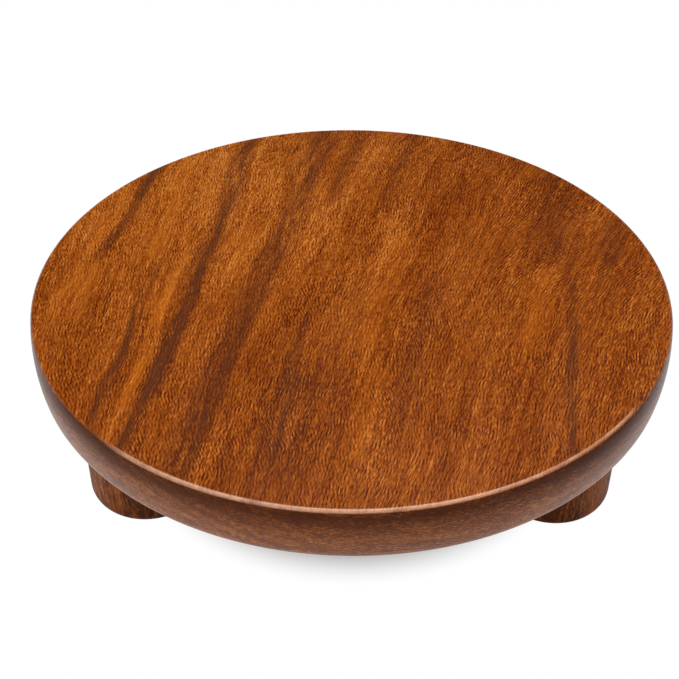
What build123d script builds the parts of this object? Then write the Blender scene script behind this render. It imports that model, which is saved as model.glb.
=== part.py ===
from build123d import *
from math import asin, cos, pi, sin, sqrt
import os

# A chakla: a round hardwood board for rolling dough, on three turned feet.
# Millimetres, +Z up. The origin is on the floor, under the middle of the board.

# Board: one slab, turned with a crowned side.
board_diameter = 254.0
board_thickness = 25.2
side_crown_radius = 55.0
widest_below_top = 10.0
arris_round = 1.6
rim_under_round = 7.0
arris_steps = 3
crown_steps = 4
under_round_steps = 4

# Feet: three alike, at even steps round a circle under the board, the first at the back.
foot_names = ["rear", "front_left", "front_right"]
foot_inset_from_rim = 34.2
foot_diameter = 47.0
foot_height = 43.3
foot_bottom_round = 6.5
foot_round_steps = 3

# Spigot on each foot, glued into a shallow socket in the board's underside.
spigot_diameter = 20.0
spigot_length = 6.0
socket_radial_clearance = 0.1
socket_end_clearance = 0.5

# Countersunk wood screw, driven up through each foot into the board.
screw_length = 40.0
screw_shank_diameter = 4.5
screw_shank_length = 15.0
screw_core_diameter = 3.2
screw_head_diameter = 8.6
recess_width = 1.2
recess_span = 4.8
recess_depth = 1.9

# Holes for the screw: counterbore, cone seat and clearance hole in the foot, pilot hole in the board.
screw_head_depth = 17.0
counterbore_radial_clearance = 0.7
shank_radial_clearance = 0.2
pilot_radial_clearance = 0.05
pilot_end_clearance = 1.0

# Places that follow from the sizes above.
board_radius = board_diameter / 2
underside = foot_height
board_top = underside + board_thickness
widest_level = board_top - widest_below_top
side_centre = board_radius - side_crown_radius
foot_circle_radius = board_radius - foot_inset_from_rim
foot_radius = foot_diameter / 2
spigot_radius = spigot_diameter / 2
spigot_top = underside + spigot_length
socket_radius = spigot_radius + socket_radial_clearance
socket_depth = spigot_length + socket_end_clearance
head_radius = screw_head_diameter / 2
shank_radius = screw_shank_diameter / 2
core_radius = screw_core_diameter / 2
head_cone_height = head_radius - shank_radius
shank_start = screw_head_depth + head_cone_height
shank_end = shank_start + screw_shank_length
screw_tip = screw_head_depth + screw_length
counterbore_radius = head_radius + counterbore_radial_clearance
clearance_hole_radius = shank_radius + shank_radial_clearance
pilot_radius = core_radius + pilot_radial_clearance
pilot_top = screw_tip + pilot_end_clearance
back_angle = 90.0
foot_places = PolarLocations(foot_circle_radius, len(foot_names), start_angle=back_angle)


def arc_points(centre, radius, start_angle, end_angle, steps):
    """Points at even steps along a true arc, so that a revolve turns it into a few plain cones."""
    turns = [start_angle + (end_angle - start_angle) * step / steps for step in range(steps + 1)]
    return [(centre[0] + radius * cos(turn), centre[1] + radius * sin(turn)) for turn in turns]


def round_inside_crown(level, radius):
    """Centre of a round of this radius that lies inside the side's arc, and the angle where they touch."""
    rise = level - widest_level
    reach = side_crown_radius - radius
    return (side_centre + sqrt(reach**2 - rise**2), level), asin(rise / reach)


os.makedirs("parts", exist_ok=True)

# The turned board, with a socket and a pilot hole for each foot.
with BuildPart() as board:
    with BuildSketch(Plane.XZ):
        with BuildLine():
            arris_centre, crown_top = round_inside_crown(board_top - arris_round, arris_round)
            under_centre, crown_bottom = round_inside_crown(underside + rim_under_round, rim_under_round)
            crown_centre = (side_centre, widest_level)
            rim = arc_points(arris_centre, arris_round, pi / 2, crown_top, arris_steps)
            rim += arc_points(crown_centre, side_crown_radius, crown_top, crown_bottom, crown_steps)[1:]
            rim += arc_points(under_centre, rim_under_round, crown_bottom, -pi / 2, under_round_steps)[1:]
            Polyline((0, underside), (0, board_top), *rim, close=True)
        make_face()
    revolve(axis=Axis.Z)
    with BuildSketch(Plane.XY.offset(underside)):
        with foot_places:
            Circle(socket_radius)
    extrude(amount=socket_depth, mode=Mode.SUBTRACT)
    with BuildSketch(Plane.XY.offset(underside)):
        with foot_places:
            Circle(pilot_radius)
    extrude(amount=pilot_top - underside, mode=Mode.SUBTRACT)
board.part.label = "board"
export_step(board.part, "parts/board.step")

# The three feet and their screws, each made where it stands.
for foot_name, foot_place in zip(foot_names, foot_places.local_locations):
    foot_centre = foot_place.position
    foot_axis = Axis(foot_centre, (0, 0, 1))
    foot_section = Plane(origin=foot_centre, x_dir=(1, 0, 0), z_dir=(0, -1, 0))
    head_plane = Plane(origin=foot_centre).offset(screw_head_depth)

    with BuildPart() as foot:
        with BuildSketch(foot_section):
            with BuildLine():
                round_centre = (foot_radius - foot_bottom_round, foot_bottom_round)
                bottom = arc_points(round_centre, foot_bottom_round, -pi / 2, 0, foot_round_steps)
                shoulder = [(foot_radius, underside), (spigot_radius, underside)]
                Polyline((0, 0), *bottom, *shoulder, (spigot_radius, spigot_top), (0, spigot_top), close=True)
            make_face()
        revolve(axis=foot_axis)
        with BuildSketch(foot_section):
            with BuildLine():
                Polyline(
                    (0, 0),
                    (counterbore_radius, 0),
                    (counterbore_radius, shank_start + shank_radius - counterbore_radius),
                    (clearance_hole_radius, shank_start + shank_radius - clearance_hole_radius),
                    (clearance_hole_radius, spigot_top),
                    (0, spigot_top),
                    close=True,
                )
            make_face()
        revolve(axis=foot_axis, mode=Mode.SUBTRACT)
    foot.part.label = "foot_" + foot_name
    export_step(foot.part, "parts/foot_" + foot_name + ".step")

    with BuildPart() as screw:
        with BuildSketch(foot_section):
            with BuildLine():
                Polyline(
                    (0, screw_head_depth),
                    (head_radius, screw_head_depth),
                    (shank_radius, shank_start),
                    (shank_radius, shank_end),
                    (core_radius, shank_end),
                    (core_radius, screw_tip),
                    (0, screw_tip),
                    close=True,
                )
            make_face()
        revolve(axis=foot_axis)
        with BuildSketch(head_plane):
            Rectangle(recess_span, recess_width)
            Rectangle(recess_width, recess_span)
        extrude(amount=recess_depth, mode=Mode.SUBTRACT)
    screw.part.label = "screw_" + foot_name
    export_step(screw.part, "parts/screw_" + foot_name + ".step")
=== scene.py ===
import bpy
from math import asin, cos, pi, radians, sin, sqrt
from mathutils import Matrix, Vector


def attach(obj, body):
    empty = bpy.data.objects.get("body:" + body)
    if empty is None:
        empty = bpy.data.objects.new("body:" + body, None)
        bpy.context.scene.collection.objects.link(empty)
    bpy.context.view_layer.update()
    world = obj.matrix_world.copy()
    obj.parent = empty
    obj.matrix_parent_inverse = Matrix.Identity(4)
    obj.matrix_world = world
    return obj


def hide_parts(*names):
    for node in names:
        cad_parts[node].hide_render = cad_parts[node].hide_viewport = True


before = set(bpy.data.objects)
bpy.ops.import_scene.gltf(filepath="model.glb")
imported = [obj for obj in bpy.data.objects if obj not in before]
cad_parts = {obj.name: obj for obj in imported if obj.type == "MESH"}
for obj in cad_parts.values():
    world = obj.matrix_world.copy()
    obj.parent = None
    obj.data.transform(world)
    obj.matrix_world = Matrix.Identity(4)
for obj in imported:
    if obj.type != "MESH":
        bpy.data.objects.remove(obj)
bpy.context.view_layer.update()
scene = bpy.context.scene
print("frame loaded:", sorted(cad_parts))


# Small helpers for building node trees

def addNode(tree, kind, inputs=None, **settings):
    node = tree.nodes.new(kind)
    for setting, value in settings.items():
        setattr(node, setting, value)
    for socketName, value in (inputs or {}).items():
        socket = node.inputs[socketName]
        if isinstance(value, bpy.types.NodeSocket):
            tree.links.new(value, socket)
        else:
            socket.default_value = value
    return node


def calc(tree, operation, first, second=0.0, third=0.0):
    values = {0: first, 1: second, 2: third}
    return addNode(tree, "ShaderNodeMath", values, operation=operation).outputs[0]


def remap(tree, value, low, high, newLow=0.0, newHigh=1.0, smooth=True):
    values = {"Value": value, "From Min": low, "From Max": high, "To Min": newLow, "To Max": newHigh}
    kind = "SMOOTHSTEP" if smooth else "LINEAR"
    return addNode(tree, "ShaderNodeMapRange", values, interpolation_type=kind).outputs[0]


def ink(red, green, blue):  # screen colour, 0 to 255, as the linear colour that nodes take
    levels = [channel / 255 for channel in (red, green, blue)]
    return tuple(v / 12.92 if v <= 0.04045 else ((v + 0.055) / 1.055) ** 2.4 for v in levels) + (1.0,)


# Camera: the photograph's own angle

cameraSetup = {
    "place": (0.0, -0.39467, 0.35074),  # metres
    "turn": (51.672, -0.037, 0.704),    # degrees
    "lens": 64.1,
}
cameraData = bpy.data.cameras.new("studioCamera")
cameraData.lens = cameraSetup["lens"]
camera = bpy.data.objects.new("studioCamera", cameraData)
camera.location = cameraSetup["place"]
camera.rotation_euler = [radians(angle) for angle in cameraSetup["turn"]]
scene.collection.objects.link(camera)
scene.camera = camera
print("camera set")


# Wood: one solid figure that runs through each piece, from millimetres in the piece's own frame

markSteps = {  # how far each mark runs across, along and down before it changes, in millimetres
    "slowWave": (34, 62, 30),
    "quickWave": (24, 21, 30),
    "ringDrift": (60, 110, 40),
    "streakBreaks": (3.5, 45, 8),
    "broad": (60, 90, 17),
    "patches": (17, 26, 17),
    "swirl": (26, 30, 26),
    "flecks": (0.5, 2.0, 0.5),
    "hair": (0.42, 7.0, 0.45),
    "pores": (0.95, 4.6, 0.8),
    "turning": (6, 6, 1.3),
    "lineDrift": (40, 60, 12),
    "lines": (2.2, 9, 0.55),
    "lineBands": (18, 40, 2.4),
    "wornHighlightPlaces": (9, 9, 9),
    "wornHighlightGrain": (2.0, 2.0, 0.8),
}


def woodFinish(name, wood):
    material = bpy.data.materials.new(name)
    material.use_nodes = True
    tree = material.node_tree
    tree.nodes.clear()

    def noise(vector, steps, detail=2.0, roughness=0.5, seed=0.0, distortion=0.0):
        shift = wood["seed"] + seed
        scaled = addNode(tree, "ShaderNodeMapping", {
            "Vector": vector, "Scale": [1 / step for step in steps],
            "Location": (shift * 1.7, shift * 3.1, shift * 0.9)}).outputs[0]
        cloud = addNode(tree, "ShaderNodeTexNoise", {
            "Vector": scaled, "Scale": 1.0, "Detail": detail, "Roughness": roughness,
            "Distortion": distortion})
        return calc(tree, "SUBTRACT", cloud.outputs["Fac"], 0.5)

    def farFrom(place):
        values = {0: inMillimetres, 1: place}
        return addNode(tree, "ShaderNodeVectorMath", values, operation="DISTANCE").outputs["Value"]

    def tint(share, colour, tone):
        values = {0: share, 6: colour, 7: ink(*tone)}
        return addNode(tree, "ShaderNodeMix", values, data_type="RGBA").outputs[2]

    objectPlace = addNode(tree, "ShaderNodeTexCoord").outputs["Object"]
    inMillimetres = addNode(tree, "ShaderNodeVectorMath", {
        0: objectPlace, "Scale": 1000.0}, operation="SCALE").outputs[0]
    right, back, level = addNode(tree, "ShaderNodeSeparateXYZ", {0: inMillimetres}).outputs
    turned = addNode(tree, "ShaderNodeMapping", {
        "Vector": inMillimetres, "Rotation": [radians(angle) for angle in wood["grainTurn"]]})
    across, along, depth = addNode(tree, "ShaderNodeSeparateXYZ", {0: turned.outputs[0]}).outputs

    # the grain fans out, with its lean growing across the board, and wanders in slow and quicker waves
    lean = calc(tree, "MULTIPLY_ADD", across, wood["leanGrowth"], wood["lean"])
    fanned = calc(tree, "SUBTRACT", across, calc(tree, "MULTIPLY", along, lean))
    flat = addNode(tree, "ShaderNodeCombineXYZ", {0: fanned, 1: along, 2: depth}).outputs[0]
    slow = calc(tree, "MULTIPLY_ADD", noise(flat, markSteps["slowWave"], 2), wood["slowWave"], fanned)
    quick = noise(flat, markSteps["quickWave"], 1, seed=3)
    wavy = calc(tree, "MULTIPLY_ADD", quick, wood["quickWave"], slow)
    fibre = addNode(tree, "ShaderNodeCombineXYZ", {0: wavy, 1: along, 2: depth}).outputs[0]

    # growth rings: lying nearly flat, so they cut the top in wide soft bands and the rim in thin lines
    fromRingZero = calc(tree, "SUBTRACT", depth, wood["ringZero"])
    ring = calc(tree, "MULTIPLY_ADD", fromRingZero, wood["ringLean"], slow)
    ring = calc(tree, "MULTIPLY_ADD", noise(flat, markSteps["ringDrift"], 2, seed=2), wood["ringDrift"], ring)
    shifted = calc(tree, "MULTIPLY", fromRingZero, wood["ringLean"])
    strayed = calc(tree, "ADD", calc(tree, "ADD", across, calc(tree, "SUBTRACT", slow, fanned)), shifted)
    broken = remap(tree, noise(fibre, markSteps["streakBreaks"], 3, 0.65, 5), -0.16, 0.12, 0.25, 1.1)
    bands = 0.0
    fade = wood["streakFade"]
    for place, streakLean, softLeft, softRight, strength, nearEnd, farEnd in wood["streaks"]:
        gap = calc(tree, "SUBTRACT", calc(tree, "MULTIPLY_ADD", along, -streakLean, strayed), place)
        shape = calc(tree, "MULTIPLY", remap(tree, gap, -softLeft, 0), remap(tree, gap, 0, softRight, 1, 0))
        ends = calc(tree, "MULTIPLY", remap(tree, along, nearEnd - fade, nearEnd + fade),
                    remap(tree, along, farEnd - fade, farEnd + fade, 1, 0))
        bands = calc(tree, "MULTIPLY_ADD", calc(tree, "MULTIPLY", shape, ends), strength, bands)
    bands = calc(tree, "MULTIPLY", bands, broken)
    ringFrame = addNode(tree, "ShaderNodeCombineXYZ", {0: slow, 1: along, 2: ring}).outputs[0]
    broad = noise(ringFrame, markSteps["broad"], 3, 0.55, 7)
    stripes = noise(fibre, wood["stripeSteps"], 2, 0.55, 9)

    # dashes, flecks, hairs and pores, all longer along the grain, and stronger in some patches
    patchy = remap(tree, noise(flat, markSteps["patches"], 2, seed=15), -0.2, 0.2, 0.8, 1.2)
    side = 0.0
    rim = wood.get("rim")
    if rim:
        side = calc(tree, "MULTIPLY", remap(tree, level, rim["top"], rim["top"] - rim["topFade"]),
                    remap(tree, level, rim["bottom"], rim["bottom"] + rim["bottomFade"]))
    swirl = calc(tree, "MULTIPLY_ADD", noise(flat, markSteps["swirl"], 2, seed=31), wood["swirl"], lean)
    curly = remap(tree, farFrom(wood["curlyPlace"]), wood["curlyReach"], wood["curlyCore"], 0, wood["curl"])
    swirl = calc(tree, "ADD", swirl, curly)
    faceOn = calc(tree, "MULTIPLY_ADD", side, -0.75, 1.0)
    leaning = calc(tree, "MULTIPLY", calc(tree, "MULTIPLY", swirl, faceOn), -1.0)
    crossGrain = addNode(tree, "ShaderNodeCombineXYZ", {0: faceOn, 1: leaning, 2: side}).outputs[0]
    dashes = addNode(tree, "ShaderNodeTexGabor", {
        "Vector": turned.outputs[0], "Scale": 1 / wood["dashLength"],
        "Frequency": wood["dashLength"] / wood["dashGap"],
        "Anisotropy": 0.88, 5: crossGrain}, gabor_type="3D").outputs["Value"]
    dashes = calc(tree, "MULTIPLY", calc(tree, "SUBTRACT", dashes, 0.5), patchy)
    dashes = calc(tree, "MINIMUM", calc(tree, "MULTIPLY", dashes, 0.75), calc(tree, "MULTIPLY", dashes, 1.3))
    flecks = calc(tree, "MULTIPLY", noise(fibre, markSteps["flecks"], 1, 0.5, 11, 0.2), patchy)
    hair = calc(tree, "MULTIPLY", noise(fibre, markSteps["hair"], 1, 0.5, 13), patchy)
    cellFrame = addNode(tree, "ShaderNodeMapping", {
        "Vector": fibre, "Scale": [1 / step for step in markSteps["pores"]]})
    cells = addNode(tree, "ShaderNodeTexVoronoi", {"Vector": cellFrame.outputs[0], "Scale": 1.0})
    cellShade = addNode(tree, "ShaderNodeSeparateColor", {0: cells.outputs["Color"]}).outputs[0]
    poreCore = remap(tree, cells.outputs["Distance"], 0.16, 0.42, 1.0, 0.0)
    pores = calc(tree, "MULTIPLY", poreCore, remap(tree, cellShade, 0.35, 0.9))

    parts = [
        (broad, wood["broad"]), (stripes, wood["stripes"]), (dashes, wood["dashes"]),
        (flecks, wood["flecks"]), (hair, wood["hair"]), (bands, wood["bandDepth"]),
    ]
    marksOfTurning = noise(fibre, markSteps["turning"], 2, seed=17)
    if rim:
        # the turned side: fine level lines, painted shade below the arris, and wear with a painted highlight
        # on the arris; the underside keeps rings of turning
        inPlan = addNode(tree, "ShaderNodeCombineXYZ", {0: right, 1: back}).outputs[0]
        flatRadius = addNode(tree, "ShaderNodeVectorMath", {0: inPlan}, operation="LENGTH").outputs["Value"]
        lineDrift = noise(flat, markSteps["lineDrift"], 2, seed=19)
        lineLevel = calc(tree, "MULTIPLY_ADD", lineDrift, rim["lineDrift"], depth)
        lineLevel = calc(tree, "MULTIPLY_ADD", across, rim["lineLean"], lineLevel)
        lineFrame = addNode(tree, "ShaderNodeCombineXYZ", {0: wavy, 1: along, 2: lineLevel}).outputs[0]
        lines = noise(lineFrame, markSteps["lines"], 2, 0.6, 23, 0.2)
        lineBands = noise(lineFrame, markSteps["lineBands"], 2, 0.5, 27)
        lineShare = calc(tree, "MULTIPLY_ADD", lineBands, rim["lineBands"],
                         calc(tree, "MULTIPLY", lines, rim["lines"]))
        # painted shade: the rim darker just below the arris
        paintedShadeBelowArris = calc(tree, "MULTIPLY", remap(tree, level, rim["shadeFrom"], rim["shadeFull"]),
                          remap(tree, level, rim["shadeEnd"], rim["shadeEase"]))
        # the arris: partly real wear, partly a painted highlight, set lower on the left and kept mostly to
        # the front
        wornHighlightLevel = calc(tree, "MULTIPLY_ADD", across, rim["wornHighlightLevelLean"], level)
        wornHighlightRadius = calc(tree, "MULTIPLY_ADD", across, rim["wornHighlightRadiusLean"], flatRadius)
        wornHighlightEdge = calc(tree, "MULTIPLY", remap(tree, wornHighlightLevel, rim["wornHighlightLevelFrom"], rim["wornHighlightLevelFull"]),
                        remap(tree, wornHighlightRadius, rim["wornHighlightRadiusFrom"], rim["wornHighlightRadiusFull"]))
        wornHighlightPatches = remap(tree, noise(flat, markSteps["wornHighlightPlaces"], 2, seed=29), -0.16, 0.05, 0.6, 1.0)
        wornHighlightGrain = remap(tree, noise(flat, markSteps["wornHighlightGrain"], 1, seed=37), -0.2, 0.2, 0.8, 1.1)
        wornHighlightPlaces = calc(tree, "MULTIPLY", wornHighlightPatches, wornHighlightGrain)
        frontmost = calc(tree, "MULTIPLY_ADD", right, rim["wearHighlightLean"], calc(tree, "MULTIPLY", back, -1.0))
        atFront = remap(tree, frontmost, rim["wearHighlightFrom"], rim["wearHighlightFull"], rim["wearHighlightElsewhere"], 1.0)
        wornHighlightEdge = calc(tree, "MULTIPLY", wornHighlightEdge, calc(tree, "MULTIPLY", wornHighlightPlaces, atFront))
        # lighter towards the back left: partly the wood's own tone, partly painted light from the nearer lamp
        goldenAndLit = remap(tree, farFrom(rim["goldenAndLitPlace"]), rim["goldenAndLitReach"], 0)
        parts += [
            (calc(tree, "MULTIPLY", side, lineShare), 1.0), (side, rim["sideTone"]),
            (paintedShadeBelowArris, rim["paintedShadeBelowArris"]), (goldenAndLit, rim["goldenAndLit"]),
        ]
        underneath = remap(tree, level, rim["bottom"] + rim["bottomFade"], rim["bottom"] + rim["underFade"])
        ripple = calc(tree, "SINE", calc(tree, "MULTIPLY", flatRadius, 2 * pi / rim["turningPitch"]))
        rings = calc(tree, "MULTIPLY", ripple, underneath)
        marksOfTurning = calc(tree, "MULTIPLY_ADD", rings, 0.5, calc(tree, "MULTIPLY", marksOfTurning, side))

    tone = wood["midTone"]
    for part, weight in parts:
        tone = calc(tree, "MULTIPLY_ADD", part, weight, tone)
    toneRamp = addNode(tree, "ShaderNodeValToRGB", {"Fac": tone})
    toneStops = toneRamp.color_ramp.elements
    while len(toneStops) < len(wood["tones"]):
        toneStops.new(0.5)
    for stop, (place, colour) in zip(toneStops, wood["tones"]):
        stop.position = place
        stop.color = ink(*colour)
    dusky = calc(tree, "MULTIPLY", calc(tree, "MAXIMUM", bands, 0.0), wood["duskyShare"])
    colour = tint(dusky, toneRamp.outputs["Color"], wood["duskyTone"])
    paler = calc(tree, "MAXIMUM", calc(tree, "MULTIPLY", bands, -1.0), 0.0)
    colour = tint(calc(tree, "MULTIPLY", paler, wood["sunnyShare"]), colour, wood["sunnyTone"])
    colour = tint(calc(tree, "MULTIPLY", pores, wood["poreDarkness"]), colour, wood["poreTone"])
    if rim:
        colour = tint(calc(tree, "MULTIPLY", side, rim["endGrainShare"]), colour, rim["endGrainTone"])
        # painted shade below the arris
        colour = tint(calc(tree, "MULTIPLY", paintedShadeBelowArris, rim["shadeShare"]), colour, rim["shadeTone"])
        # wear and painted highlight along the arris
        colour = tint(calc(tree, "MULTIPLY", wornHighlightEdge, rim["wearHighlight"]), colour, rim["wornHighlightTone"])

    # pores sink in, fibres and the marks of turning stand up a little
    height = calc(tree, "MULTIPLY_ADD", pores, -1.0, calc(tree, "MULTIPLY", hair, 0.5))
    height = calc(tree, "ADD", height, calc(tree, "MULTIPLY", marksOfTurning, 0.8))
    bump = addNode(tree, "ShaderNodeBump", {
        "Strength": wood["bump"], "Distance": wood["bumpDepth"], "Height": height})
    roughness = calc(tree, "MULTIPLY_ADD", broad, 0.15, wood["roughness"])
    roughness = calc(tree, "MULTIPLY_ADD", pores, 0.14, roughness)
    surface = addNode(tree, "ShaderNodeBsdfPrincipled", {
        "Base Color": colour, "Roughness": roughness, "Normal": bump.outputs[0],
        "Specular IOR Level": wood["gloss"]})
    addNode(tree, "ShaderNodeOutputMaterial", {"Surface": surface.outputs[0]})
    return material


boardWood = {
    "grainTurn": (0, 0, 0),   # degrees
    "lean": 0.25,             # millimetres to the right for each one towards the back
    "leanGrowth": 0.0019,     # more lean for each millimetre to the right
    "slowWave": 9.0,          # millimetres
    "quickWave": 3.4,
    "ringLean": 3.0,
    "ringZero": 68.5,
    "ringDrift": 10.0,
    # each streak, in millimetres: its place on the middle line, its lean, its soft width to the left and the
    # right, its strength (dark above 0, golden below), and where it begins and ends from front to back
    "streaks": [
        (-109.0, 0.225, 4.5, 5.5, 1.3, 12, 118), (-81.0, 0.117, 3.0, 4.5, 0.9, -120, 8),
        (-62.5, 0.144, 8.0, 6.0, 1.1, -125, 125), (-36.0, 0.2, 12.0, 9.0, 0.85, -125, 125),
        (-21.8, 0.22, 7.0, 6.0, 0.55, 62, 130), (0.5, 0.25, 6.0, 6.0, 0.5, 56, 130),
        (-11.5, 0.17, 7.0, 8.0, 0.4, -105, -20), (33.0, 0.2, 8.0, 9.0, 0.35, -85, 5),
        (87.7, 0.122, 4.5, 3.5, 0.85, -125, 12),
        (103.0, 0.2, 8.0, 8.0, 0.55, 5, 50), (-85.5, 0.117, 5.0, 5.0, -0.5, 15, 115),
        (-108.0, 0.1, 9.0, 9.0, -0.6, -25, 65), (-70.0, 0.13, 5.0, 5.0, -0.7, -120, 5),
        (15.5, 0.137, 10.0, 9.0, -0.4, -105, 35), (76.0, 0.25, 11.0, 10.0, -0.35, -45, 15),
        (-2.0, 0.2, 26.0, 24.0, 0.4, -135, -50), (78.0, 0.2, 16.0, 18.0, 0.45, 14, 90),
    ],
    "streakFade": 14.0,
    "curlyPlace": (92.0, 22.0, 68.5),   # the dashes curl more round this place, out to the reach
    "curlyCore": 10.0,
    "curlyReach": 60.0,
    "curl": 1.1,
    "swirl": 1.5,
    "dashLength": 3.3,
    "dashGap": 1.2,
    "duskyTone": (90, 48, 24),
    "duskyShare": 0.6,
    "sunnyTone": (190, 98, 14),
    "sunnyShare": 0.6,
    "midTone": 0.46,
    "broad": 0.45,
    "stripes": 0.65,
    "stripeSteps": (2.2, 30, 2.2),
    "bandDepth": -0.24,
    "dashes": 0.95,
    "flecks": 1.2,
    "hair": 0.9,
    "tones": [
        (0.0, (74, 24, 0)), (0.25, (112, 44, 2)), (0.5, (148, 72, 10)), (0.75, (180, 96, 24)),
        (1.0, (212, 132, 56)),
    ],
    "poreTone": (84, 36, 8),
    "poreDarkness": 0.35,
    "roughness": 0.33,
    "bump": 0.25,
    "bumpDepth": 0.0001,      # metres
    "gloss": 0.33,
    "seed": 1.0,
    "rim": {
        "top": 68.4,              # millimetres above the floor
        "topFade": 1.4,
        "bottom": 43.4,
        "bottomFade": 1.0,
        "underFade": 0.2,
        "turningPitch": 1.1,      # from ring to ring on the underside
        "sideTone": 0.1,
        "lines": 2.3,
        "lineBands": 1.1,
        "lineDrift": 5.0,
        "lineLean": 0.045,
        "paintedShadeBelowArris": -0.3,
        "shadeFrom": 56.0,        # the painted shade below the arris, a darker stretch by its levels
        "shadeFull": 65.5,
        "shadeEase": 67.3,
        "shadeEnd": 68.1,
        "shadeShare": 0.5,
        "shadeTone": (58, 16, 0),
        "endGrainShare": 0.35,
        "endGrainTone": (160, 84, 18),
        "wearHighlight": 0.68,
        "wornHighlightTone": (240, 182, 146),
        "wornHighlightLevelFrom": 67.2,    # the worn line along the arris with its painted highlight, by level and by radius
        "wornHighlightLevelFull": 67.95,
        "wornHighlightLevelLean": -0.006,
        "wornHighlightRadiusFrom": 124.8,
        "wornHighlightRadiusFull": 125.4,
        "wornHighlightRadiusLean": 0.003,
        "wearHighlightFrom": 82.0,         # towards the front, where the painted highlight is strongest, in millimetres from the middle
        "wearHighlightFull": 96.0,
        "wearHighlightLean": 0.12,
        "wearHighlightElsewhere": 0.06,
        # lighter towards the back left: partly the wood's own tone, partly painted light
        "goldenAndLitPlace": (-70.0, 75.0, 68.5),
        "goldenAndLitReach": 135.0,
        "goldenAndLit": 0.26,
    },
}
footWood = dict(boardWood)
footWood.update({
    "grainTurn": (90, 0, 0),  # upright in the feet
    "lean": 0.03,
    "leanGrowth": 0.0,
    "ringLean": 0.0,
    "ringZero": 0.0,
    "streaks": [
        (-77.0, 0.1, 8.0, 8.0, 1.1, -60, 20), (-92.0, -0.1, 3.0, 5.0, -0.6, -60, 20),
        (76.0, 0.05, 8.0, 8.0, 1.3, -60, 20), (95.0, -0.05, 6.0, 4.0, -0.7, -60, 20),
        (-9.0, 0.05, 4.0, 5.0, 0.8, -60, 20), (10.0, -0.05, 5.0, 5.0, 0.7, -60, 20),
    ],
    "curlyPlace": (0.0, 0.0, 0.0),
    "broad": 1.3,
    "stripes": 1.2,
    "stripeSteps": (1.8, 9.0, 1.8),
    "dashes": 0.7,
    # the feet's darker tones: partly their own wood, partly painted shade from the board above them
    "tones": [
        (0.0, (62, 22, 6)), (0.3, (104, 48, 16)), (0.55, (140, 72, 26)), (0.8, (168, 96, 40)),
        (1.0, (194, 126, 66)),
    ],
    "midTone": 0.56,
    "roughness": 0.5,
    "gloss": 0.1,
    "seed": 21.0,
    "rim": None,
})
boardMaterial = woodFinish("boardWood", boardWood)
footMaterial = woodFinish("footWood", footWood)
print("wood made")


# Turned forms: a half section drawn as an edge line, spun round a guide circle by Geometry Nodes

turning = {
    "guideRadius": 1.0,       # metres; makePiece draws the section this far inwards
    "weld": 2e-6,
    "flatness": 0.99995,      # faces that look straight up or down stay flat
    "crispBend": 0.5,         # radians; sharper edges stay crisp
}


def arcPoints(centre, radius, startAngle, endAngle, steps):
    turns = [startAngle + (endAngle - startAngle) * step / steps for step in range(steps + 1)]
    return [(centre[0] + radius * cos(turn), centre[1] + radius * sin(turn)) for turn in turns]


def newTree(name, inputs):
    tree = bpy.data.node_groups.new(name, "GeometryNodeTree")
    tree.interface.new_socket("Section", in_out="INPUT", socket_type="NodeSocketGeometry")
    sockets = {}
    for label, kind in inputs:
        made = tree.interface.new_socket(label, in_out="INPUT", socket_type="NodeSocket" + kind)
        sockets[label] = made.identifier
    tree.interface.new_socket("Geometry", in_out="OUTPUT", socket_type="NodeSocketGeometry")
    return tree, sockets, addNode(tree, "NodeGroupInput").outputs


def spun(tree, given):
    section = addNode(tree, "GeometryNodeMeshToCurve", {0: given["Section"]}).outputs[0]
    circle = addNode(tree, "GeometryNodeCurvePrimitiveCircle", {
        "Resolution": given["Segments"], "Radius": turning["guideRadius"]}).outputs[0]
    turned = addNode(tree, "GeometryNodeCurveToMesh", {"Curve": circle, "Profile Curve": section}).outputs[0]
    return addNode(tree, "GeometryNodeMergeByDistance", {
        "Geometry": turned, "Distance": turning["weld"]}).outputs[0]


def cutAway(tree, shape, tools):
    cut = addNode(tree, "GeometryNodeMeshBoolean", operation="DIFFERENCE")
    tree.links.new(shape, cut.inputs["Mesh 1"])
    for tool in tools:
        tree.links.new(tool, cut.inputs["Mesh 2"])
    return cut.outputs[0]


# smooth the curved faces, keep the flats and the edges crisp, then place and coat
def finishTree(tree, given, shape):
    normal = addNode(tree, "GeometryNodeInputNormal").outputs[0]
    upright = calc(tree, "ABSOLUTE", addNode(tree, "ShaderNodeSeparateXYZ", {0: normal}).outputs[2])
    steep = addNode(tree, "FunctionNodeCompare", {
        0: upright, 1: turning["flatness"]}, data_type="FLOAT", operation="LESS_THAN")
    bend = addNode(tree, "GeometryNodeInputMeshEdgeAngle").outputs[0]
    crisp = addNode(tree, "FunctionNodeCompare", {
        0: bend, 1: turning["crispBend"]}, data_type="FLOAT", operation="GREATER_THAN")
    smooth = addNode(tree, "GeometryNodeSetShadeSmooth", {
        0: shape, "Shade Smooth": steep.outputs[0]}, domain="FACE")
    edged = addNode(tree, "GeometryNodeSetShadeSmooth", {
        0: smooth.outputs[0], "Selection": crisp.outputs[0], "Shade Smooth": False}, domain="EDGE")
    moved = addNode(tree, "GeometryNodeTransform", {
        "Geometry": edged.outputs[0], "Translation": given["Place"]})
    realized = addNode(tree, "GeometryNodeRealizeInstances", {0: moved.outputs[0]})
    finished = addNode(tree, "GeometryNodeSetMaterial", {0: realized.outputs[0], "Material": given["Finish"]})
    addNode(tree, "NodeGroupOutput", {0: finished.outputs[0]})


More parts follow.
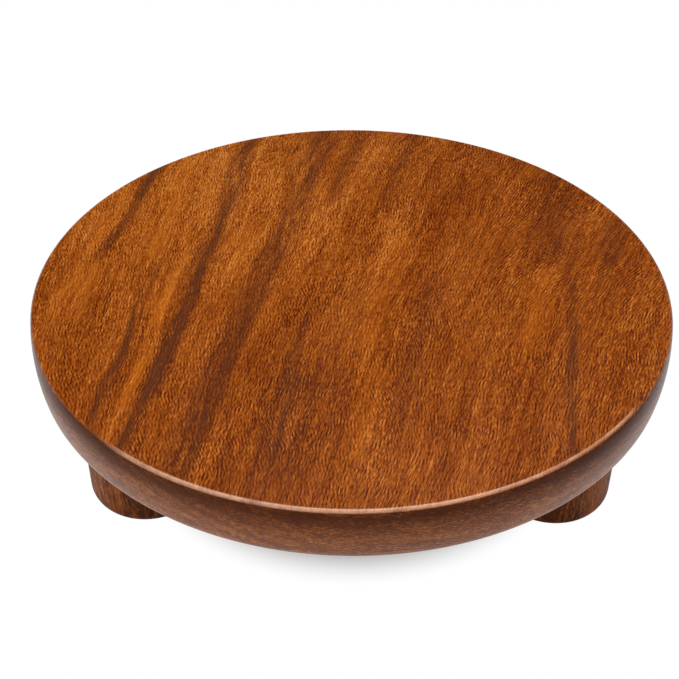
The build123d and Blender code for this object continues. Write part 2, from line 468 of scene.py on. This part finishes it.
def makePiece(name, section, closed, treeAndSockets, values, node):
    tree, sockets = treeAndSockets[:2]
    points = [(radius - turning["guideRadius"], -height, 0.0) for radius, height in section]
    edges = [(i, i + 1) for i in range(len(points) - 1)] + ([(len(points) - 1, 0)] if closed else [])
    drawn = bpy.data.meshes.new(name + "Section")
    drawn.from_pydata(points, edges, [])
    piece = bpy.data.objects.new(name, drawn)
    scene.collection.objects.link(piece)
    modifier = piece.modifiers.new("turning", "NODES")
    modifier.node_group = tree
    for label, value in values.items():
        modifier[sockets[label]] = value
    bpy.context.view_layer.update()
    solid = bpy.data.meshes.new_from_object(piece.evaluated_get(bpy.context.evaluated_depsgraph_get()))
    piece.modifiers.remove(modifier)
    piece.data = solid
    solid.name = name
    bpy.data.meshes.remove(drawn)
    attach(piece, "root")
    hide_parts(node)
    print(name, "made,", len(solid.polygons), "faces")


# The board: one turned slab, drilled from below for the feet

board = {
    "radius": 0.126996,       # metres, at the widest ring of the solid's stepped side
    "thickness": 0.0252,
    "underside": 0.0433,
    "crownRadius": 0.055,
    "widestBelowTop": 0.010,
    "arris": 0.0016,
    "underRound": 0.007,
    "flatRing": 0.06,         # one more ring of points on the flat top
    "roundSteps": 14,
    "crownSteps": 18,
    "segments": 288,
    "socketRadius": 0.0101,
    "socketDepth": 0.0065,
    "socketSides": 72,
    "pilotRadius": 0.00165,
    "pilotDepth": 0.0147,
    "pilotSides": 32,
}
footRing = 0.0928             # radius of the circle that the feet stand on
footNames = ("rear", "front_left", "front_right")
boardTop = board["underside"] + board["thickness"]


def boardSection():
    crown = board["crownRadius"]
    middle = (board["radius"] - crown, boardTop - board["widestBelowTop"])

    def roundAt(level, radius):  # a round that touches the crown from inside, and the angle where they touch
        rise, reach = level - middle[1], crown - radius
        return (middle[0] + sqrt(reach**2 - rise**2), level), asin(rise / reach)

    arrisCentre, crownTop = roundAt(boardTop - board["arris"], board["arris"])
    underCentre, crownBottom = roundAt(board["underside"] + board["underRound"], board["underRound"])
    points = [(0.0, boardTop), (board["flatRing"], boardTop)]
    points += arcPoints(arrisCentre, board["arris"], pi / 2, crownTop, board["roundSteps"])
    points += arcPoints(middle, crown, crownTop, crownBottom, board["crownSteps"])[1:]
    points += arcPoints(underCentre, board["underRound"], crownBottom, -pi / 2, board["roundSteps"])[1:]
    return points + [(0.0, board["underside"])]


boardTree = newTree("turnedBoard", [
    ("Segments", "Int"), ("Place", "Vector"), ("Finish", "Material"), ("Foot Ring", "Float"),
    ("Underside", "Float"), ("Socket Radius", "Float"), ("Socket Depth", "Float"),
    ("Pilot Radius", "Float"), ("Pilot Depth", "Float"),
])
tree, given = boardTree[0], boardTree[2]
drills = []
spots = addNode(tree, "GeometryNodeMeshCircle", {
    "Vertices": len(footNames), "Radius": given["Foot Ring"]}).outputs[0]
spots = addNode(tree, "GeometryNodeTransform", {
    "Geometry": spots, "Rotation": (0, 0, pi / 2),
    "Translation": addNode(tree, "ShaderNodeCombineXYZ", {2: given["Underside"]}).outputs[0]}).outputs[0]
for drillName, sides in (("Socket", board["socketSides"]), ("Pilot", board["pilotSides"])):
    length = calc(tree, "MULTIPLY", given[drillName + " Depth"], 2.0)  # half of it stays below the board
    drill = addNode(tree, "GeometryNodeMeshCylinder", {
        "Vertices": sides, "Radius": given[drillName + " Radius"], "Depth": length}).outputs[0]
    placed = addNode(tree, "GeometryNodeInstanceOnPoints", {"Points": spots, "Instance": drill}).outputs[0]
    drills.append(addNode(tree, "GeometryNodeRealizeInstances", {0: placed}).outputs[0])
finishTree(tree, given, cutAway(tree, spun(tree, given), drills))
makePiece("boardTurned", boardSection(), False, boardTree, {
    "Segments": board["segments"], "Place": (0.0, 0.0, 0.0), "Finish": boardMaterial, "Foot Ring": footRing,
    "Underside": board["underside"], "Socket Radius": board["socketRadius"],
    "Socket Depth": board["socketDepth"], "Pilot Radius": board["pilotRadius"],
    "Pilot Depth": board["pilotDepth"],
}, "board")


# The feet: three alike, with a spigot above and a screw hole from below

foot = {
    "radius": 0.0235,
    "height": 0.0433,
    "bottomRound": 0.0065,
    "spigotRadius": 0.010,
    "spigotLength": 0.006,
    "counterboreRadius": 0.005,
    "counterboreTop": 0.0163,
    "counterboreMouth": 0.0004,
    "holeRadius": 0.00245,
    "seatTop": 0.01885,
    "edge": 0.0006,           # broken edges at the shoulder and the spigot's end
    "edgeSteps": 4,
    "roundSteps": 14,
    "segments": 128,
}
footPlaces = {}
for order, side in enumerate(footNames):
    turn = pi / 2 + order * 2 * pi / len(footNames)
    footPlaces[side] = (footRing * cos(turn), footRing * sin(turn), 0.0)


def footSection():
    edge, mouth = foot["edge"], foot["counterboreMouth"]
    bottomCentre = (foot["radius"] - foot["bottomRound"], foot["bottomRound"])
    edgeCentre = (foot["radius"] - edge, foot["height"] - edge)
    top = foot["height"] + foot["spigotLength"]
    points = [(foot["counterboreRadius"] + mouth, 0.0)]
    points += arcPoints(bottomCentre, foot["bottomRound"], -pi / 2, 0, foot["roundSteps"])
    points += arcPoints(edgeCentre, edge, 0, pi / 2, foot["edgeSteps"])
    return points + [
        (foot["spigotRadius"], foot["height"]), (foot["spigotRadius"], top - edge),
        (foot["spigotRadius"] - edge, top), (foot["holeRadius"], top), (foot["holeRadius"], foot["seatTop"]),
        (foot["counterboreRadius"], foot["counterboreTop"]), (foot["counterboreRadius"], mouth),
    ]


footTree = newTree("turnedFoot", [("Segments", "Int"), ("Place", "Vector"), ("Finish", "Material")])
finishTree(footTree[0], footTree[2], spun(footTree[0], footTree[2]))
for side, place in footPlaces.items():
    words = side.title().replace("_", "")
    makePiece("foot" + words, footSection(), True, footTree, {
        "Segments": foot["segments"], "Place": place, "Finish": footMaterial}, "foot_" + side)


# The screws: zinc-plated steel, with a cross recess, a turned thread and a pointed end

screw = {
    "headLevel": 0.017,
    "headRadius": 0.0043,
    "headEdge": 0.00025,
    "shankRadius": 0.00225,
    "shankStart": 0.01905,
    "shankEnd": 0.03405,
    "coreRadius": 0.0016,
    "tip": 0.057,
    "pointLength": 0.0042,
    "pitch": 0.0019,
    "recessSpan": 0.0048,
    "recessWidth": 0.0012,
    "recessDepth": 0.0019,
    "neckEase": 0.0001,       # metres, where the head's cone runs into the shank
    "neckEnd": 0.0003,
    "shoulder": 0.0006,       # where the shank steps down to the thread
    "pointTaper": 0.8,
    "ridgeFrom": 0.04,        # the thread's crest and foot, in shares of its pitch
    "ridgeTo": 0.26,
    "threadStarts": 0.0016,   # metres over which the thread rises, and over which it runs out at the point
    "threadEnds": (0.0004, 0.005),
    "segments": 48,
    "threadSteps": 150,
}
screwSteel = {
    "pale": (206, 204, 196),
    "stained": (170, 160, 138),
    "stains": 0.6,            # for each millimetre
    "latheMarks": 9.0,
    "roughness": 0.16,
    "bump": 0.2,
    "bumpDepth": 0.00005,     # metres
}


def steelFinish(name):
    material = bpy.data.materials.new(name)
    material.use_nodes = True
    tree = material.node_tree
    tree.nodes.clear()
    place = addNode(tree, "ShaderNodeAttribute", attribute_name="ownPlace").outputs["Vector"]
    fine = addNode(tree, "ShaderNodeVectorMath", {0: place, "Scale": 1000.0}, operation="SCALE").outputs[0]
    axes = addNode(tree, "ShaderNodeSeparateXYZ", {0: fine}).outputs
    squares = [calc(tree, "POWER", axis, 2.0) for axis in (axes[0], axes[1])]
    radius = calc(tree, "SQRT", calc(tree, "ADD", squares[0], squares[1]))
    lathed = addNode(tree, "ShaderNodeCombineXYZ", {
        0: calc(tree, "MULTIPLY", radius, screwSteel["latheMarks"]),
        2: calc(tree, "MULTIPLY", axes[2], screwSteel["latheMarks"])}).outputs[0]
    marks = addNode(tree, "ShaderNodeTexNoise", {
        "Vector": lathed, "Scale": 1.0, "Detail": 3.0}).outputs["Fac"]
    stain = addNode(tree, "ShaderNodeTexNoise", {
        "Vector": fine, "Scale": screwSteel["stains"], "Detail": 3.0}).outputs["Fac"]
    colour = addNode(tree, "ShaderNodeMix", {
        0: remap(tree, stain, 0.35, 0.7), 6: ink(*screwSteel["pale"]), 7: ink(*screwSteel["stained"]),
    }, data_type="RGBA").outputs[2]
    bump = addNode(tree, "ShaderNodeBump", {
        "Strength": screwSteel["bump"], "Distance": screwSteel["bumpDepth"], "Height": marks})
    roughness = calc(tree, "MULTIPLY_ADD", stain, 0.2, screwSteel["roughness"])
    roughness = calc(tree, "MULTIPLY_ADD", marks, 0.25, roughness)
    surface = addNode(tree, "ShaderNodeBsdfPrincipled", {
        "Base Color": colour, "Metallic": 1.0, "Normal": bump.outputs[0], "Roughness": roughness})
    addNode(tree, "ShaderNodeOutputMaterial", {"Surface": surface.outputs[0]})
    return material


def screwSection():
    head, edge, steps = screw["headLevel"], screw["headEdge"], screw["threadSteps"]
    points = [
        (0.0, head), (screw["headRadius"] - edge, head), (screw["headRadius"], head + edge * 0.6),
        (screw["headRadius"] - edge * 0.8, head + edge * 2),
        (screw["shankRadius"] + screw["neckEase"], screw["shankStart"] - screw["neckEase"]),
        (screw["shankRadius"], screw["shankStart"] + screw["neckEnd"]),
        (screw["shankRadius"], screw["shankEnd"] - screw["shoulder"]),
    ]
    length = screw["tip"] - screw["shankEnd"]
    for step in range(steps):
        level = screw["shankEnd"] + length * step / steps
        leftOver = min(1.0, (screw["tip"] - level) / screw["pointLength"])
        points.append((screw["coreRadius"] * leftOver ** screw["pointTaper"], level))
    return points + [(0.0, screw["tip"])]


screwTree = newTree("woodScrew", [
    ("Segments", "Int"), ("Place", "Vector"), ("Finish", "Material"), ("Pitch", "Float"),
    ("Thread Height", "Float"), ("Thread Start", "Float"), ("Thread End", "Float"), ("Head Level", "Float"),
    ("Recess Span", "Float"), ("Recess Width", "Float"), ("Recess Depth", "Float"),
])
tree, given = screwTree[0], screwTree[2]
ownPlace = addNode(tree, "GeometryNodeInputPosition").outputs[0]
where = addNode(tree, "ShaderNodeSeparateXYZ", {0: ownPlace}).outputs
turnShare = calc(tree, "DIVIDE", calc(tree, "ARCTAN2", where[1], where[0]), 2 * pi)
wound = calc(tree, "FRACT", calc(tree, "SUBTRACT", calc(tree, "DIVIDE", where[2], given["Pitch"]), turnShare))
fromCrest = calc(tree, "ABSOLUTE", calc(tree, "SUBTRACT", wound, 0.5))
ridge = remap(tree, fromCrest, screw["ridgeFrom"], screw["ridgeTo"], 1, 0, False)
startIn = remap(tree, calc(tree, "SUBTRACT", where[2], given["Thread Start"]), 0.0, screw["threadStarts"])
endIn = remap(tree, calc(tree, "SUBTRACT", given["Thread End"], where[2]), *screw["threadEnds"])
rise = calc(tree, "MULTIPLY", calc(tree, "MULTIPLY", ridge, given["Thread Height"]),
            calc(tree, "MULTIPLY", startIn, endIn))
outward = addNode(tree, "ShaderNodeCombineXYZ", {0: where[0], 1: where[1]}).outputs[0]
outward = addNode(tree, "ShaderNodeVectorMath", {0: outward}, operation="NORMALIZE").outputs[0]
push = addNode(tree, "ShaderNodeVectorMath", {0: outward, "Scale": rise}, operation="SCALE").outputs[0]
threaded = addNode(tree, "GeometryNodeSetPosition", {
    "Geometry": spun(tree, given), "Offset": push}).outputs[0]
bars = []
headPlace = addNode(tree, "ShaderNodeCombineXYZ", {2: given["Head Level"]}).outputs[0]
for wide, deep in (("Recess Span", "Recess Width"), ("Recess Width", "Recess Span")):
    size = addNode(tree, "ShaderNodeCombineXYZ", {
        0: given[wide], 1: given[deep], 2: calc(tree, "MULTIPLY", given["Recess Depth"], 2.0)}).outputs[0]
    bar = addNode(tree, "GeometryNodeMeshCube", {"Size": size}).outputs[0]
    placed = addNode(tree, "GeometryNodeTransform", {"Geometry": bar, "Translation": headPlace}).outputs[0]
    bars.append(placed)
cross = cutAway(tree, threaded, bars)
marked = addNode(tree, "GeometryNodeStoreNamedAttribute", {  # the steel reads its place before it is moved
    "Geometry": cross, "Name": "ownPlace", "Value": ownPlace},
    data_type="FLOAT_VECTOR", domain="POINT").outputs[0]
finishTree(tree, given, marked)
steelMaterial = steelFinish("screwSteel")
for side, place in footPlaces.items():
    words = side.title().replace("_", "")
    makePiece("screw" + words, screwSection(), False, screwTree, {
        "Segments": screw["segments"], "Place": place, "Finish": steelMaterial, "Pitch": screw["pitch"],
        "Thread Height": screw["shankRadius"] - screw["coreRadius"], "Thread Start": screw["shankEnd"],
        "Thread End": screw["tip"], "Head Level": screw["headLevel"], "Recess Span": screw["recessSpan"],
        "Recess Width": screw["recessWidth"], "Recess Depth": screw["recessDepth"],
    }, "screw_" + side)


# Floor, world and lamps

studio = {
    "floorGrey": 0.8,
    "floorReach": 3.0,       # metres from the middle
    "whiteFrom": 0.070,      # the camera sees white from here outwards, and the paper's shadows nearer in
    "whiteBy": 0.100,
    "mirrorFrom": 0.105,     # reflections see the lit paper up to here, and then white
    "mirrorBy": 0.130,
    "duskFrom": 0.150,       # and in front, towards the camera, the darker end of the paper
    "duskBy": 0.220,
    "duskAhead": (0.05, -0.04),   # from back to front
    "duskDepth": 0.98,
    "paperGlow": 0.16,       # a little light from the paper itself, which reaches the underside
    "ambientBelow": 0.5,
    "ambient": 0.10,
    "ambientFade": -0.1,     # how far below the horizon the light from below is full
    "skyPaleTo": 0.02,       # reflections see a pale sky low down and a dark one higher up
    "skyDarkFrom": 0.3,
}
lamps = {
    "softboxOverhead": {"place": (0.10, -0.05, 0.80), "size": (0.62, 0.42), "power": 5.1},
    "softboxFrontLeft": {"place": (-0.46, -0.42, 0.70), "size": (0.5, 0.42), "power": 2.2},
}

floorMaterial = bpy.data.materials.new("studioFloor")
floorMaterial.use_nodes = True
tree = floorMaterial.node_tree
tree.nodes.clear()
floorPlace = addNode(tree, "ShaderNodeTexCoord").outputs["Object"]
fromMiddle = addNode(tree, "ShaderNodeVectorMath", {0: floorPlace}, operation="LENGTH").outputs["Value"]
path = addNode(tree, "ShaderNodeLightPath").outputs
farOut = remap(tree, fromMiddle, studio["whiteFrom"], studio["whiteBy"])
seenWhite = calc(tree, "MULTIPLY", path["Is Camera Ray"], farOut)
mirrored = calc(tree, "MAXIMUM", path["Is Glossy Ray"], path["Is Transmission Ray"])
mirroredFarOut = remap(tree, fromMiddle, studio["mirrorFrom"], studio["mirrorBy"])
mirroredWhite = calc(tree, "MULTIPLY", mirrored, mirroredFarOut)
fromFront = addNode(tree, "ShaderNodeSeparateXYZ", {0: floorPlace}).outputs[1]
dusk = calc(tree, "MULTIPLY", remap(tree, fromMiddle, studio["duskFrom"], studio["duskBy"]),
            remap(tree, fromFront, *studio["duskAhead"]))
dusk = calc(tree, "MULTIPLY", calc(tree, "MULTIPLY", dusk, mirrored), studio["duskDepth"])
paper = addNode(tree, "ShaderNodeBsdfDiffuse", {"Color": (studio["floorGrey"],) * 3 + (1.0,)}).outputs[0]
white = addNode(tree, "ShaderNodeEmission", {"Strength": calc(tree, "SUBTRACT", 1.0, dusk)}).outputs[0]
above = addNode(tree, "ShaderNodeMixShader", {
    0: calc(tree, "MAXIMUM", calc(tree, "MAXIMUM", seenWhite, mirroredWhite), studio["paperGlow"]),
    1: paper, 2: white}).outputs[0]
clear = addNode(tree, "ShaderNodeBsdfTransparent").outputs[0]
fromBelow = addNode(tree, "ShaderNodeNewGeometry").outputs["Backfacing"]
sides = addNode(tree, "ShaderNodeMixShader", {0: fromBelow, 1: above, 2: clear}).outputs[0]
addNode(tree, "ShaderNodeOutputMaterial", {"Surface": sides})
floorMesh = bpy.data.meshes.new("studioFloor")
reach = studio["floorReach"]
corners = [(-reach, -reach, 0), (reach, -reach, 0), (reach, reach, 0), (-reach, reach, 0)]
floorMesh.from_pydata(corners, [], [(0, 1, 2, 3)])
floorMesh.materials.append(floorMaterial)
floor = bpy.data.objects.new("studioFloor", floorMesh)
scene.collection.objects.link(floor)

world = bpy.data.worlds.new("studioWorld")
scene.world = world
world.use_nodes = True
tree = world.node_tree
tree.nodes.clear()
skyPlace = addNode(tree, "ShaderNodeTexCoord").outputs["Generated"]
upward = addNode(tree, "ShaderNodeSeparateXYZ", {0: skyPlace}).outputs[2]
lowSky = remap(tree, upward, studio["skyPaleTo"], studio["skyDarkFrom"], 1.0, 0.0)
path = addNode(tree, "ShaderNodeLightPath").outputs
reflected = calc(tree, "MAXIMUM", path["Is Glossy Ray"], path["Is Transmission Ray"])
soft = remap(tree, upward, studio["ambientFade"], 0.0, studio["ambientBelow"], studio["ambient"])
level = addNode(tree, "ShaderNodeMix", {0: reflected, 2: soft, 3: lowSky}).outputs[0]
level = addNode(tree, "ShaderNodeMix", {0: path["Is Camera Ray"], 2: level, 3: 1.0}).outputs[0]
addNode(tree, "ShaderNodeOutputWorld", {
    0: addNode(tree, "ShaderNodeBackground", {"Color": (1, 1, 1, 1), "Strength": level}).outputs[0]})

for name, lamp in lamps.items():
    data = bpy.data.lights.new(name, "AREA")
    data.shape = "RECTANGLE"
    data.size, data.size_y = lamp["size"]
    data.energy = lamp["power"]
    made = bpy.data.objects.new(name, data)
    made.location = lamp["place"]
    aim = Vector((0, 0, boardTop)) - Vector(lamp["place"])
    made.rotation_euler = aim.to_track_quat("-Z", "Y").to_euler()
    scene.collection.objects.link(made)
scene.view_settings.view_transform = "Standard"
print("studio set")
